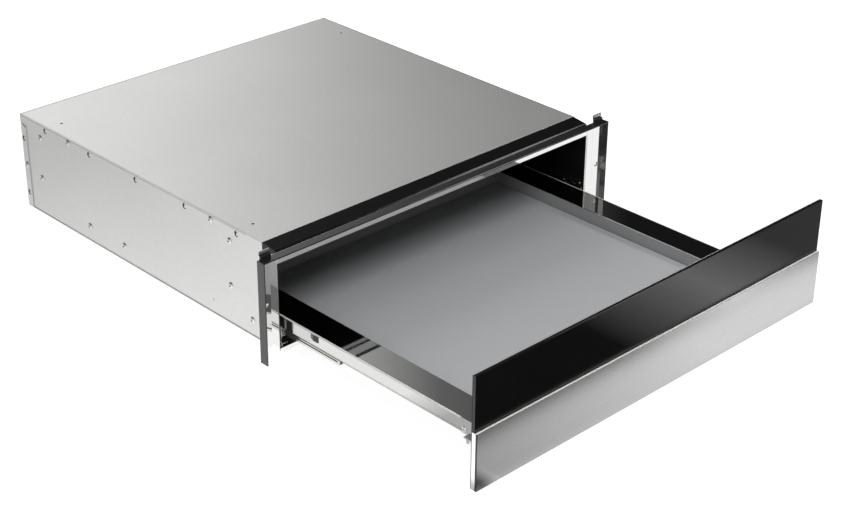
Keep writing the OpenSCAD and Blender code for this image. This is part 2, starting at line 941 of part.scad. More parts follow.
// Tray pressed from one sheet, its rim under the deck
module drawer_tray() {
    color("gray") pulled() difference() {
        union() {
            box([-tray_x - sheet, tray_front - sheet, tray_low],
                [tray_x + sheet, tray_back + sheet, deck_low]);
            box([-tray_x - tray_rim, tray_front - tray_rim, deck_low - sheet],
                [tray_x + tray_rim, tray_back + tray_rim, deck_low]);
        }
        box([-tray_x, tray_front, tray_floor], [tray_x, tray_back, ledge_z]);
    }
}

module anti_slip_mat() {
    x = tray_x - mat_gap;
    y0 = tray_front + mat_gap;
    y1 = tray_back - mat_gap;
    color("darkgray") pulled() translate([0, 0, tray_floor]) linear_extrude(mat_t) {
        rect(-x + mat_corner, x - mat_corner, y0, y1);
        rect(-x, x, y0 + mat_corner, y1 - mat_corner);
        for (cx = [-x + mat_corner, x - mat_corner], cy = [y0 + mat_corner, y1 - mat_corner])
            translate([cx, cy]) circle(mat_corner);
    }
}

module drawer_insulation() {
    color("khaki") pulled() box([-tray_x + wool_in, tray_front + wool_in, bottom_z],
        [tray_x - wool_in, tray_back - wool_in, tray_low]);
}

// Bottom pan, hung from the inner faces of the two drawer rails
module drawer_bottom() {
    leg = rail_leg_x - drawer_rail_t - sheet / 2;
    wall = bottom_x + sheet / 2;
    low = bottom_z - sheet / 2;
    color("silver") pulled() {
        along_y(tray_front - bottom_end, tray_back + bottom_end)
            fold_line([[-leg, pan_step_z + pan_leg_h], [-leg, pan_step_z], [-wall, pan_step_z], [-wall, low],
                [wall, low], [wall, pan_step_z], [leg, pan_step_z], [leg, pan_step_z + pan_leg_h]], sheet);
        for (y = [tray_front - bottom_end, tray_back + bottom_end - sheet])
            box([-bottom_x, y, bottom_z - sheet], [bottom_x, y + sheet, pan_step_z]);
    }
}

module drawer_rail() {
    half = drawer_rail_t / 2;
    pulled() along_y(drawer_rail_y, drawer_rail_end)
        fold_line([[rail_leg_x - half, drawer_rail_z + half], [rail_leg_x - half, deck_low - half],
            [rail_leg_x - drawer_rail_top, deck_low - half]], drawer_rail_t);
}

module drawer_rail_left() {
    color("lightgray") mirror([1, 0, 0]) drawer_rail();
}

module drawer_rail_right() {
    color("lightgray") drawer_rail();
}

// Front carrier: an upright behind the panel, with a wing inside each skirt and a tab for the peg
module front_carrier() {
    wing_x = drawer_w / 2 - sheet;
    color("lightgray") pulled() difference() {
        union() {
            box([-wing_x, panel_back, wing_low], [wing_x, deck_y, carrier_top]);
            both_sides() {
                box([wing_x - carrier_t, deck_y + sheet, wing_low], [wing_x, deck_y + wing_l, deck_low]);
                box([wing_x - carrier_t, deck_y + peg_back - peg_tab, wing_low - carrier_t],
                    [wing_x + peg_tab, deck_y + peg_back + peg_tab, wing_low + carrier_t / 2]);
                box([wing_x - carrier_t, panel_back, wing_low], [wing_x, deck_y + wing_l, skirt_z]);
            }
        }
        both_sides() translate([wing_x, deck_y + drawer_screw_back, drawer_screw_z]) facing_side()
            cylinder(h = cut * 4, r = shank_r + shank_gap, center = true);
    }
}

// Pegs under the drawer's front corners
module guide_pegs() {
    color("dimgray") pulled() both_sides()
        translate([drawer_w / 2 + peg_tab / 3, deck_y + peg_back, wing_low - carrier_t]) mirror([0, 0, 1]) {
            cylinder(h = peg_l - peg_tip, r = peg_r);
            translate([0, 0, peg_l - peg_tip]) cylinder(h = peg_tip, r1 = peg_r, r2 = peg_r - peg_tip);
        }
}

module drawer_screws() {
    color("white") pulled() both_sides()
        translate([drawer_w / 2, deck_y + drawer_screw_back, drawer_screw_z]) facing_side()
            dome_screw(drawer_screw_r, drawer_screw_h, shank_l / 2);
}

// Front panel
module glass_pane() {
    color("#101010") pulled()
        box([-panel_w / 2, glass_front, steel_top], [panel_w / 2, glass_back, panel_top]);
}

// Shallow pan of brushed steel, open to the back
module steel_skin() {
    half = panel_w / 2;
    color("silver") pulled() difference() {
        box([-half, steel_front, panel_low], [half, glass_back, steel_top]);
        box([-half + sheet, steel_front + sheet, panel_low + sheet],
            [half - sheet, glass_back + cut, steel_top - sheet]);
    }
}

// Plate that carries the glass and closes the steel pan
module panel_backing() {
    x = panel_w / 2 - backing_in;
    color("dimgray") pulled()
        box([-x, glass_back, panel_low + backing_in], [x, panel_back, panel_top - backing_in]);
}

module panel_buffers() {
    color("black") pulled() both_sides() for (share = buffer_shares)
        translate([strip_out - buffer_r, panel_back, panel_low + panel_h * share]) rotate([-90, 0, 0]) {
            cylinder(h = buffer_t - buffer_tip, r = buffer_r);
            translate([0, 0, buffer_t - buffer_tip])
                cylinder(h = buffer_tip, r1 = buffer_r, r2 = buffer_r - buffer_tip);
        }
}

// Control on the front ledge
module control_box() {
    low = [box_x, deck_y, ledge_z];
    high = [box_x + box_w, deck_y + box_d, plate_z];
    color("#202020") pulled() difference() {
        box(low, high);
        box(low + [box_wall, box_wall, -cut], high - [box_wall, box_wall, box_wall]);
        control_holes(box_h);
    }
}

// Holes for the knob's spindle, the button and the lamp
module control_holes(h) {
    translate([0, control_y, plate_z]) {
        translate([knob_x, 0, 0]) cylinder(h = h, r = knob_shaft + knob_fit, center = true);
        translate([button_x, 0, 0]) cylinder(h = h, r = button_r + button_fit, center = true);
        translate([lamp_x, 0, 0]) cylinder(h = h, r = lamp_r + shank_gap, center = true);
    }
}

module control_plate() {
    color("silver") pulled() difference() {
        box([box_x + plate_in, deck_y + plate_in, plate_z],
            [box_x + box_w - plate_in, deck_y + box_d - plate_in, plate_z + plate_t]);
        control_holes(box_h);
    }
}

module pilot_lamp() {
    color("orange") pulled() translate([lamp_x, control_y, plate_z + plate_t]) {
        translate([0, 0, -lamp_l]) cylinder(h = lamp_l, r = lamp_r);
        intersection() {
            translate([0, 0, lamp_up - lamp_r * 1.6]) sphere(lamp_r * 1.6);
            cylinder(h = lamp_up, r = lamp_r + shank_gap * 3);
        }
    }
}

module temperature_knob() {
    color("silver") pulled() translate([knob_x, control_y, knob_z]) {
        translate([0, 0, -knob_shaft_l]) cylinder(h = knob_shaft_l + knob_h / 2, r = knob_shaft);
        difference() {
            rotate_extrude() polygon([[0, 0], [knob_r, 0], [knob_r - grip_r / 2, knob_h - grip_r],
                [knob_r - grip_r * 1.5, knob_h], [0, knob_h]]);
            for (i = [0 : knob_grips - 1]) rotate([0, 0, i * 360 / knob_grips])
                translate([knob_r + grip_r / 4, 0, grip_r]) cylinder(h = knob_h, r = grip_r);
            translate([-grip_r / 2, knob_r / 3, knob_h - grip_r / 2]) cube([grip_r, knob_r, knob_h]);
        }
    }
}

module power_button() {
    color("black") pulled() translate([button_x, control_y, plate_z + plate_t]) difference() {
        translate([0, 0, -button_l]) cylinder(h = button_l + button_up, r = button_r);
        translate([0, 0, button_up + button_r * 4 - button_travel / 4]) sphere(button_r * 4, $fn = 96);
    }
}

base_plate();
bottom_front_rail();
left_side();
right_side();
top_cover();
rear_cover();
frame_strip_left();
frame_strip_right();
frame_strip_top();
frame_corner_blocks();
air_deflector();
liner_ceiling();
liner_left();
liner_right();
liner_back();
insulation_top();
fan_cowl();
ring_heater();
fan_motor();
fan_shaft();
fan_wheel();
thermal_cutout();
terminal_block();
cable_gland();
latch_body();
latch_plunger();
housing_screws();
runner_screws();
runner_bracket_left();
runner_bracket_right();
cabinet_member_left();
cabinet_member_right();
middle_member_left();
middle_member_right();
drawer_member_left();
drawer_member_right();
outer_cages();
outer_balls();
inner_cages();
inner_balls();
drawer_deck();
drawer_tray();
drawer_insulation();
drawer_bottom();
anti_slip_mat();
drawer_rail_left();
drawer_rail_right();
front_carrier();
guide_pegs();
drawer_screws();
panel_backing();
glass_pane();
steel_skin();
panel_buffers();
control_box();
control_plate();
pilot_lamp();
temperature_knob();
power_button();
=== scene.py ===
"""Finishes, studio and camera for the built-in warming drawer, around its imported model."""

import json
import math
import random

import bmesh
import bpy
from mathutils import Matrix, Vector


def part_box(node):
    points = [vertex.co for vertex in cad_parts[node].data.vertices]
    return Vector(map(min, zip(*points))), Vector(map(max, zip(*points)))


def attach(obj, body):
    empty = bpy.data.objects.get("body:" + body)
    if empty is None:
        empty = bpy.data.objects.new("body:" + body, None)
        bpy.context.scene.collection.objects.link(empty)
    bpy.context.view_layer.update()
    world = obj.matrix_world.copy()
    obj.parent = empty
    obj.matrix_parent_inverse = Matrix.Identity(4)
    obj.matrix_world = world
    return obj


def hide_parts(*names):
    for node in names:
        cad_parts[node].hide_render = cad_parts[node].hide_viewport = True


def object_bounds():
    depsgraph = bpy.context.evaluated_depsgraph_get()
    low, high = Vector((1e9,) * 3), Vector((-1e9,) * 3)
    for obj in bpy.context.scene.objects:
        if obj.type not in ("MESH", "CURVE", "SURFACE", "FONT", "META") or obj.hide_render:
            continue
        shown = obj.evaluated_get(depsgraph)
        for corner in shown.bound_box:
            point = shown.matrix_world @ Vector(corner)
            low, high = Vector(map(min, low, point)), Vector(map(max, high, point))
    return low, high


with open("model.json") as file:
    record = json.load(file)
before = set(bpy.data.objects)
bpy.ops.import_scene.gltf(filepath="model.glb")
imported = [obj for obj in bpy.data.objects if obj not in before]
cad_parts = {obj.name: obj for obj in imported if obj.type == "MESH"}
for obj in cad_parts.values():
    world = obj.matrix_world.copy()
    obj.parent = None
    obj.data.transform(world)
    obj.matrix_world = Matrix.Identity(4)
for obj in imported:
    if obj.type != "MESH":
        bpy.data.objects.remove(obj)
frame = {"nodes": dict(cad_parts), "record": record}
cad_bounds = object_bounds()
nodes = frame["nodes"]
MM = 0.001
# Vertices nearer than this are one
SAME_PLACE = 0.01 * MM
# Gauge of the frame's sheet, and the fixing hole of each side strip from the middle and from the underside
FRAME_SHEET = 1.0 * MM
FIXING_HOLE = (285.2 * MM, 69 * MM)
# The first half-moon punch of the top cover's side fold in Y, and the pitch of the row
PUNCH_FIRST = -194.5 * MM
PUNCH_PITCH = 100.5 * MM

# Camera: place in metres, angles in degrees, and the lens for a 36 mm sensor
CAMERA_AT = Vector((-1.4185, -1.7102, 1.1016))
CAMERA_YAW = 43.742
CAMERA_PITCH = 27.874
CAMERA_ROLL = 0.37
CAMERA_LENS = 77.70


def make_camera():
    """The camera that the photo's edges were fitted to."""
    data = bpy.data.cameras.new("camera")
    data.lens = CAMERA_LENS
    data.sensor_width = 36
    data.clip_end = 100
    camera = bpy.data.objects.new("camera", data)
    bpy.context.scene.collection.objects.link(camera)
    turn = Matrix.Rotation(math.radians(-CAMERA_YAW), 4, "Z")
    tilt = Matrix.Rotation(math.radians(90 - CAMERA_PITCH), 4, "X")
    roll = Matrix.Rotation(math.radians(CAMERA_ROLL), 4, "Z")
    camera.matrix_world = Matrix.Translation(CAMERA_AT) @ turn @ tilt @ roll
    bpy.context.scene.camera = camera


# Node graphs


class Graph:
    """A short way to write a node tree: each call adds a node and links what it is given."""

    def __init__(self, tree):
        self.tree = tree
        tree.nodes.clear()

    def add(self, kind, inputs=None, **settings):
        """A node with values or links for its inputs, and its own settings."""
        node = self.tree.nodes.new(kind)
        for name, value in settings.items():
            setattr(node, name, value)
        for name, value in (inputs or {}).items():
            socket = node.inputs[name]
            if isinstance(value, bpy.types.NodeSocket):
                self.tree.links.new(value, socket)
            else:
                socket.default_value = value
        return node

    def math(self, operation, a, b=0.0):
        return self.add("ShaderNodeMath", {0: a, 1: b}, operation=operation).outputs[0]

    def position(self, scale=(1, 1, 1)):
        """Object coordinates in metres, stretched by scale."""
        coordinates = self.add("ShaderNodeTexCoord").outputs["Object"]
        return self.add("ShaderNodeMapping", {"Vector": coordinates, "Scale": scale}).outputs["Vector"]

    def axes(self, vector):
        """The X, Y and Z of a vector."""
        return self.add("ShaderNodeSeparateXYZ", {"Vector": vector}).outputs

    def noise(self, vector, scale, detail=3.0, roughness=0.5):
        inputs = {"Vector": vector, "Scale": scale, "Detail": detail, "Roughness": roughness}
        return self.add("ShaderNodeTexNoise", inputs).outputs["Fac"]

    def ramp(self, value, low, high, low_at=0.0, high_at=1.0):
        """Values or colours that follow value from low at low_at to high at high_at."""
        node = self.add("ShaderNodeMapRange", {"Value": value, "From Min": low_at, "From Max": high_at,
                                              "To Min": low, "To Max": high})
        return node.outputs["Result"]

    def mix(self, fac, a, b):
        """A colour between a and b."""
        node = self.add("ShaderNodeMix", data_type="RGBA")
        for index, value in ((0, fac), (6, a), (7, b)):
            if isinstance(value, bpy.types.NodeSocket):
                self.tree.links.new(value, node.inputs[index])
            else:
                node.inputs[index].default_value = value
        return node.outputs[2]

    def bump(self, height, strength, distance, normal=None):
        """A normal that follows height, over another normal where one is given."""
        inputs = {"Height": height, "Strength": strength, "Distance": distance}
        if normal is not None:
            inputs["Normal"] = normal
        return self.add("ShaderNodeBump", inputs).outputs["Normal"]

    def surface(self, shader):
        self.add("ShaderNodeOutputMaterial", {"Surface": shader})


def rgb(value, tint=(1.0, 1.0, 1.0)):
    """A grey of one value, tinted."""
    return (value * tint[0], value * tint[1], value * tint[2], 1.0)


def new_material(name):
    """An empty material and its graph."""
    material = bpy.data.materials.new(name)
    material.use_nodes = True
    return material, Graph(material.node_tree)


def principled(graph, inputs):
    return graph.add("ShaderNodeBsdfPrincipled", inputs).outputs[0]


def sheet_metal(name, tone, roughness, tint=(1, 1, 0.985), metallic=0.9, spangle=0.02, round_mm=0.9,
                dark_past=None):
    """Zinc-coated sheet: faint crystals, fine grain, a slow cloud in tone and softly rounded folds.

    dark_past is the half width in X past which it turns near black.
    """
    material, g = new_material(name)
    place = g.position()
    crystals = g.add("ShaderNodeTexVoronoi", {"Vector": place, "Scale": 260.0}).outputs["Color"]
    grain = g.noise(place, 1400.0, 2.0)
    cloud = g.noise(place, 4.0, 2.0)
    shade = g.ramp(crystals, 1 - spangle, 1 + spangle)
    shade = g.math("MULTIPLY", shade, g.ramp(cloud, 0.97, 1.03, 0.3, 0.7))
    shade = g.math("MULTIPLY", shade, g.ramp(grain, 0.96, 1.04, 0.3, 0.7))
    colour = g.mix(g.math("MULTIPLY", shade, 0.5), rgb(0.0), rgb(tone * 2, tint))
    if dark_past:
        across = g.math("ABSOLUTE", g.axes(place)["X"])
        colour = g.mix(g.math("GREATER_THAN", across, dark_past), colour, rgb(0.02))
    rough = g.ramp(grain, roughness - 0.04, roughness + 0.04, 0.3, 0.7)
    folds = g.add("ShaderNodeBevel", {"Radius": round_mm * MM}, samples=4).outputs["Normal"]
    normal = g.bump(grain, 0.1, 0.0002, folds)
    g.surface(principled(g, {"Base Color": colour, "Metallic": metallic, "Roughness": rough,
                             "Normal": normal}))
    return material


def polished_metal(name, tone, roughness, tint=(1, 1, 0.99)):
    """Mirror-polished steel with faint wipe marks."""
    material, g = new_material(name)
    place = g.position()
    wipes = g.noise(g.position((3, 40, 40)), 6.0, 4.0)
    rough = g.ramp(wipes, roughness * 0.85, roughness * 1.2, 0.3, 0.7)
    wave = g.noise(place, 5.0, 1.0)
    normal = g.bump(wave, 0.02, 0.001)
    colour = g.mix(g.ramp(wipes, 0, 1, 0.3, 0.7), rgb(tone * 0.985, tint), rgb(tone * 1.015, tint))
    g.surface(principled(g, {"Base Color": colour, "Metallic": 1.0, "Roughness": rough, "Normal": normal}))
    return material


def brushed_metal(name, tone, roughness, stretch=(1.0, 30.0, 30.0), sides=None):
    """Steel brushed along X: long fine scratches in tone, roughness and height.

    sides gives (half width, bend line) in metres: past that half width the folded side is polished, and
    painted shade makes it near black in front of the bend line.
    """
    material, g = new_material(name)
    lines = g.noise(g.position(tuple(14 * v for v in stretch)), 3.0, 6.0, 0.75)
    hair = g.noise(g.position(tuple(60 * v for v in stretch)), 3.0, 3.0, 0.6)
    wide = g.noise(g.position((1.2, 30.0, 30.0)), 2.0, 3.0)
    colour = g.mix(g.ramp(lines, 0, 1, 0.3, 0.7), rgb(tone * 0.9), rgb(tone * 1.09))
    colour = g.mix(g.ramp(hair, 0.0, 0.45, 0.3, 0.7), colour, rgb(tone * 1.25))
    colour = g.mix(g.ramp(wide, 0.0, 0.2, 0.3, 0.7), colour, rgb(tone * 1.1))
    rough = g.ramp(lines, roughness - 0.05, roughness + 0.07, 0.3, 0.7)
    normal = g.bump(lines, 0.12, 0.0002)
    if sides:
        half, bend = sides
        place = g.axes(g.position())
        beyond = g.math("GREATER_THAN", g.math("ABSOLUTE", place["X"]), half)
        # Painted shade: a near-black band in front of the bend line, where the fold's round looks dark
        bend_shade = g.ramp(place["Y"], 1.0, 0.0, bend - 0.4 * MM, bend)
        side_tone = g.mix(bend_shade, rgb(0.95), rgb(0.06))
        colour = g.mix(beyond, colour, side_tone)
        rough = g.math("MULTIPLY", rough, g.ramp(beyond, 1.0, 0.3))
    g.surface(principled(g, {"Base Color": colour, "Metallic": 1.0, "Roughness": rough, "Normal": normal,
                             "Anisotropic": 0.4}))
    return material


def coated(name, tone, roughness, tint=(1, 1, 1), grain_scale=900.0, grain=0.2, specular=0.5, vary=0.08):
    """Enamel, plastic or rubber: a fine grain in tone, roughness and height."""
    material, g = new_material(name)
    place = g.position()
    speck = g.noise(place, grain_scale, 3.0, 0.6)
    cloud = g.noise(place, 12.0, 2.0)
    colour = g.mix(g.ramp(speck, 0, 1, 0.3, 0.7), rgb(tone * (1 - vary), tint), rgb(tone * (1 + vary), tint))
    colour = g.mix(g.ramp(cloud, 0.0, 0.3, 0.3, 0.7), colour, rgb(tone * (1 + vary), tint))
    rough = g.ramp(speck, roughness - 0.05, roughness + 0.05, 0.3, 0.7)
    normal = g.bump(speck, grain, 0.0003)
    g.surface(principled(g, {"Base Color": colour, "Roughness": rough, "Normal": normal,
                             "Specular IOR Level": specular}))
    return material


def glass_black(name):
    """Black-backed glass: a clear gloss over a black that is faintly uneven."""
    material, g = new_material(name)
    cloud = g.noise(g.position(), 4.0, 2.0)
    colour = g.mix(cloud, rgb(0.004), rgb(0.007, (1, 0.95, 0.9)))
    rough = g.ramp(g.noise(g.position(), 30.0, 2.0), 0.02, 0.05, 0.3, 0.7)
    g.surface(principled(g, {"Base Color": colour, "Roughness": rough, "IOR": 1.5}))
    return material


def wool(name):
    """Yellow mineral wool: tangled fibres in tone and height."""
    material, g = new_material(name)
    fibres = g.noise(g.position((1, 1, 4)), 260.0, 5.0, 0.7)
    colour = g.mix(fibres, rgb(0.5, (1, 0.9, 0.55)), rgb(0.85, (1, 0.92, 0.62)))
    normal = g.bump(fibres, 0.8, 0.002)
    g.surface(principled(g, {"Base Color": colour, "Roughness": 0.95, "Normal": normal}))
    return material


def lamp_lens(name):
    """Amber lens with a fine cell pattern."""
    material, g = new_material(name)
    cells = g.add("ShaderNodeTexVoronoi", {"Vector": g.position(), "Scale": 900.0}).outputs["Distance"]
    colour = g.mix(cells, (0.75, 0.2, 0.02, 1), (0.95, 0.42, 0.06, 1))
    g.surface(principled(g, {"Base Color": colour, "Roughness": 0.2, "Coat Weight": 0.5,
                             "Normal": g.bump(cells, 0.3, 0.0003)}))
    return material


def steel_side():
    """Where the steel skin's side begins in X, and its bend line in Y."""
    low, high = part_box("steel_skin")
    return high[0] - 0.3 * MM, low[1] + 2.4 * MM


# Slots of the finishes that only the scene has
SLOTS = {"edge_black": "black_plastic", "shade_black": "black_plastic", "print_white": "white_plastic",
         "tab_grey": "galvanised", "fold_shade_grey": "galvanised", "backing_sheet": "galvanised",
         "painted_edge_highlight": "mirror_ledge", "groove_shade": "runner_steel", "screw_shade": "screw_steel"}


def make_materials():
    """Every finish by name."""
    backing_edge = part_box("panel_backing")[1][0] - 0.2 * MM
    return {
        "galvanised": sheet_metal("galvanised", 0.68, 0.36),
        "polished_steel": polished_metal("polished_steel", 0.88, 0.04),
        "mirror_ledge": polished_metal("mirror_ledge", 0.64, 0.035),
        "black_trim": coated("black_trim", 0.006, 0.14, grain=0.02, grain_scale=300.0, specular=0.22),
        "black_lining": coated("black_lining", 0.006, 0.3, grain=0.05, specular=0.35),
        "runner_steel": sheet_metal("runner_steel", 0.66, 0.2, (1, 0.99, 0.93), 0.95, 0.02, 0.25),
        "cage_brass": sheet_metal("cage_brass", 0.6, 0.3, (1, 0.82, 0.45), 1.0, 0.02, 0.1),
        "ball_steel": polished_metal("ball_steel", 0.8, 0.08),
        "screw_steel": polished_metal("screw_steel", 0.72, 0.14),
        "brushed_front": brushed_metal("brushed_front", 0.5, 0.24, sides=steel_side()),
        "black_glass": glass_black("black_glass"),
        "mat_grey": coated("mat_grey", 0.325, 0.75, (0.975, 0.995, 1.02), 1500.0, 0.5, 0.3, 0.05),
        "tray_grey": coated("tray_grey", 0.275, 0.4, (0.99, 1, 1.01), 1100.0, 0.15, 0.5, 0.05),
        "mineral_wool": wool("mineral_wool"),
        "black_plastic": coated("black_plastic", 0.014, 0.4, grain=0.3, grain_scale=1200.0),
        "white_plastic": coated("white_plastic", 0.75, 0.4, (1, 0.99, 0.94), grain=0.15),
        "black_rubber": coated("black_rubber", 0.015, 0.75, grain=0.5),
        "heater_steel": sheet_metal("heater_steel", 0.25, 0.5, (0.95, 1, 1), 0.9, 0.1),
        "motor_steel": sheet_metal("motor_steel", 0.2, 0.45, (1, 1, 1), 0.8, 0.05),
        "aluminium": brushed_metal("aluminium", 0.72, 0.28, (6.0, 6.0, 6.0)),
        "lamp_amber": lamp_lens("lamp_amber"),
        "backing_sheet": sheet_metal("backing_sheet", 0.68, 0.36, dark_past=backing_edge),
        # Pale matte finish on the polished deck's rolled edges: a painted highlight
        "painted_edge_highlight": coated("painted_edge_highlight", 0.62, 0.4, (1, 0.985, 0.95), grain=0.02, vary=0.02),
        # Dark finish in the runner's ball track: painted shade
        "groove_shade": coated("groove_shade", 0.05, 0.5, (1, 0.97, 0.85), grain=0.1, specular=0.3),
        "edge_black": coated("edge_black", 0.01, 0.12, grain=0.02, grain_scale=300.0, specular=0.75),
        # Near black: painted shade in the punches and the tooling holes
        "shade_black": coated("shade_black", 0.004, 0.8, grain=0.2, specular=0.1),
        "tab_grey": polished_metal("tab_grey", 0.34, 0.2),
        # Darker copy of the galvanised finish: painted shade for the fold rounds and the drawer screw
        # recesses
        "fold_shade_grey": sheet_metal("fold_shade_grey", 0.4, 0.3),
        # Dark finish in the screw recesses and skirts: painted shade
        "screw_shade": coated("screw_shade", 0.03, 0.6, grain=0.2, specular=0.2),
        "print_white": coated("print_white", 0.7, 0.5, grain=0.1),
    }


def dress_nodes(materials):
    """Gives every CAD node the material of its slot. The panel's backing has its own, with a black edge."""
    for part in frame["record"]["subparts"]:
        node = nodes[part["node"]]
        node.data.materials.clear()
        node.data.materials.append(materials[part["material_slot"]])
    nodes["panel_backing"].data.materials[0] = materials["backing_sheet"]


def soften_edges():
    """Folds and cut edges catch the light: a small bevel on the pieces that show."""
    bevels = {
        "drawer_deck": 0.5, "steel_skin": 0.8, "glass_pane": 0.5, "drawer_tray": 0.35, "anti_slip_mat": 0.4,
        "frame_strip_left": 0.3, "frame_strip_right": 0.3, "frame_strip_top": 0.3, "frame_corner_blocks": 0.4,
        "bottom_front_rail": 0.3, "front_carrier": 0.3, "guide_pegs": 0.3, "control_box": 0.5,
        "power_button": 0.3, "temperature_knob": 0.25,
    }
    for name, width in bevels.items():
        node = nodes[name]
        weld = node.modifiers.new("weld", "WELD")
        weld.merge_threshold = SAME_PLACE
        bevel = node.modifiers.new("bevel", "BEVEL")
        bevel.width = width * MM
        bevel.segments = 2
        bevel.limit_method = "ANGLE"
        bevel.angle_limit = math.radians(50)
        bevel.harden_normals = True


# Studio


def make_floor():
    """Pale floor: white to the camera, softly lit, and with darker zones of painted shade and a painted light
    streak for what steel and glass mirror.
    """
    lowest = cad_bounds[0][2]
    bpy.ops.mesh.primitive_plane_add(size=60, location=(0, 0, lowest - 0.5 * MM))
    floor = bpy.context.object
    floor.name = "floor"
    material, g = new_material("floor")
    path = g.add("ShaderNodeLightPath").outputs
    place = g.axes(g.add("ShaderNodeNewGeometry").outputs["Position"])
    # At the panel's foot, painted shade that is darker towards its left end
    foot = g.ramp(place["Y"], 1.0, 0.0, -0.635, -0.61)
    level = g.math("SUBTRACT", 1.0, g.math("MULTIPLY", foot, g.ramp(place["X"], 0.5, -0.2, -0.33, 0.12)))
    # A narrow patch of painted shade beside the drawer's front corner
    patch = g.math("MULTIPLY", g.ramp(place["Y"], 0.5, 0.0, -0.5, -0.43),
                   g.ramp(place["X"], 1.0, 0.0, -0.28, -0.26))
    patch = g.math("MULTIPLY", patch, g.ramp(place["X"], 0.0, 1.0, -0.316, -0.306))
    level = g.math("SUBTRACT", level, patch)
    # Beside the housing, painted shade that darkens towards its rear
    beside = g.ramp(place["X"], 1.0, 0.0, -0.26, -0.255)
    slope = g.math("MULTIPLY", beside, g.ramp(place["Y"], -0.2, 0.26, -0.15, 0.45))
    level = g.math("MULTIPLY", level, g.math("SUBTRACT", 1.0, slope))
    # Well before the panel it is dark, with a painted light streak and a dim right end
    far = g.ramp(place["Y"], 1.0, 0.0, -0.705, -0.685)
    streak = g.ramp(g.math("ABSOLUTE", g.math("SUBTRACT", place["X"], 0.24)), 1.4, 0.0, 0.0, 0.2)
    band = g.math("MAXIMUM", streak, g.ramp(place["X"], 0.0, 0.3, 0.1, 0.3))
    shown = g.math("MULTIPLY", level, g.math("SUBTRACT", 1.0, g.math("MULTIPLY", far, 0.98)))
    shown = g.math("MAXIMUM", shown, g.math("MULTIPLY", far, band))
    # Strengths for light, for mirrors and clear things, and for the camera
    diffuse = g.add("ShaderNodeBsdfDiffuse", {"Color": rgb(0.8)}).outputs[0]
    mirror = g.add("ShaderNodeEmission", {"Color": rgb(1.0), "Strength": shown}).outputs[0]
    white = g.add("ShaderNodeEmission", {"Color": rgb(1.0), "Strength": 0.86}).outputs[0]
    lit = g.add("ShaderNodeBsdfDiffuse", {"Color": rgb(0.3)}).outputs[0]
    seen = g.add("ShaderNodeAddShader", {0: white, 1: lit}).outputs[0]
    glossy = g.math("MAXIMUM", path["Is Glossy Ray"], path["Is Transmission Ray"])
    shader = g.add("ShaderNodeMixShader", {0: glossy, 1: diffuse, 2: mirror}).outputs[0]
    shader = g.add("ShaderNodeMixShader", {0: path["Is Camera Ray"], 1: shader, 2: seen}).outputs[0]
    g.surface(shader)
    floor.data.materials.append(material)


def make_world():
    """White to the camera, soft grey light from above, and pale and dark walls for what is mirrored.

    The walls go by the turn from the back: pale there, dark to the right and the left, dim in front.
    """
    world = bpy.data.worlds.new("studio")
    bpy.context.scene.world = world
    world.use_nodes = True
    g = Graph(world.node_tree)
    path = g.add("ShaderNodeLightPath").outputs
    toward = g.axes(g.add("ShaderNodeTexCoord").outputs["Generated"])
    turn = g.math("ARCTAN2", toward["X"], toward["Y"])
    back = g.ramp(turn, 1.24, 0.16, math.radians(33.5), math.radians(44.5))
    right = g.ramp(turn, 1.0, 0.07, math.radians(44.5), math.radians(51))
    left = g.ramp(turn, 0.13, 1.0, math.radians(-25), math.radians(5))
    level = g.math("MULTIPLY", g.math("MULTIPLY", back, right), left)
    front = g.ramp(toward["Y"], 0.24, 0.0, -0.6, -0.3)
    mirrored = g.math("MAXIMUM", level, front)
    soft = g.ramp(toward["Z"], 0.06, 0.44, 0.05, 0.9)
    shown = g.add("ShaderNodeMix", {0: path["Is Glossy Ray"], 2: soft, 3: mirrored},
                  data_type="FLOAT").outputs[0]
    shown = g.add("ShaderNodeMix", {0: path["Is Camera Ray"], 2: shown, 3: 1.0},
                  data_type="FLOAT").outputs[0]
    background = g.add("ShaderNodeBackground", {"Color": rgb(1.0), "Strength": shown}).outputs[0]
    g.add("ShaderNodeOutputWorld", {"Surface": background})


def softbox(name, at, aim, size, power, glossy=True):
    """A rectangular area light at a place, aimed at another. Where glossy is off it isn't mirrored."""
    data = bpy.data.lights.new(name, "AREA")
    data.shape = "RECTANGLE"
    data.size, data.size_y = size
    data.energy = power
    light = bpy.data.objects.new(name, data)
    bpy.context.scene.collection.objects.link(light)
    light.location = at
    light.rotation_euler = (Vector(aim) - Vector(at)).to_track_quat("-Z", "Y").to_euler()
    light.visible_glossy = glossy


def make_lights():
    """Soft light from the left front, above, behind and the right."""
    softbox("key_left", (-2.6, -1.3, 1.3), (0, -0.2, 0), (1.2, 1.2), 14)
    softbox("front_top", (-0.5, -1.6, 2.3), (0, -0.4, 0), (1.1, 1.1), 36, glossy=False)
    softbox("behind", (-0.2, 1.7, 1.7), (0, -0.2, 0), (1.6, 1.2), 27, glossy=False)
    softbox("edge_right", (1.7, -0.35, 1.9), (0, -0.2, 0.05), (1.7, 0.35), 14)


# Detail pieces


def finish_piece(name, mesh, material, body, smooth=False):
    """Turns a bmesh into a named piece that rides on a body."""
    data = bpy.data.meshes.new(name)
    bmesh.ops.recalc_face_normals(mesh, faces=mesh.faces)
    mesh.to_mesh(data)
    mesh.free()
    for face in data.polygons:
        face.use_smooth = smooth
    if smooth:
        data.set_sharp_from_angle(angle=math.radians(40))
    data.materials.append(material)
    piece = bpy.data.objects.new(name, data)
    bpy.context.scene.collection.objects.link(piece)
    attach(piece, body)
    return piece


def circle_points(radius, steps):
    """Points of a circle around (0, 0)."""
    turns = [2 * math.pi * step / steps for step in range(steps)]
    return [(radius * math.cos(turn), radius * math.sin(turn)) for turn in turns]


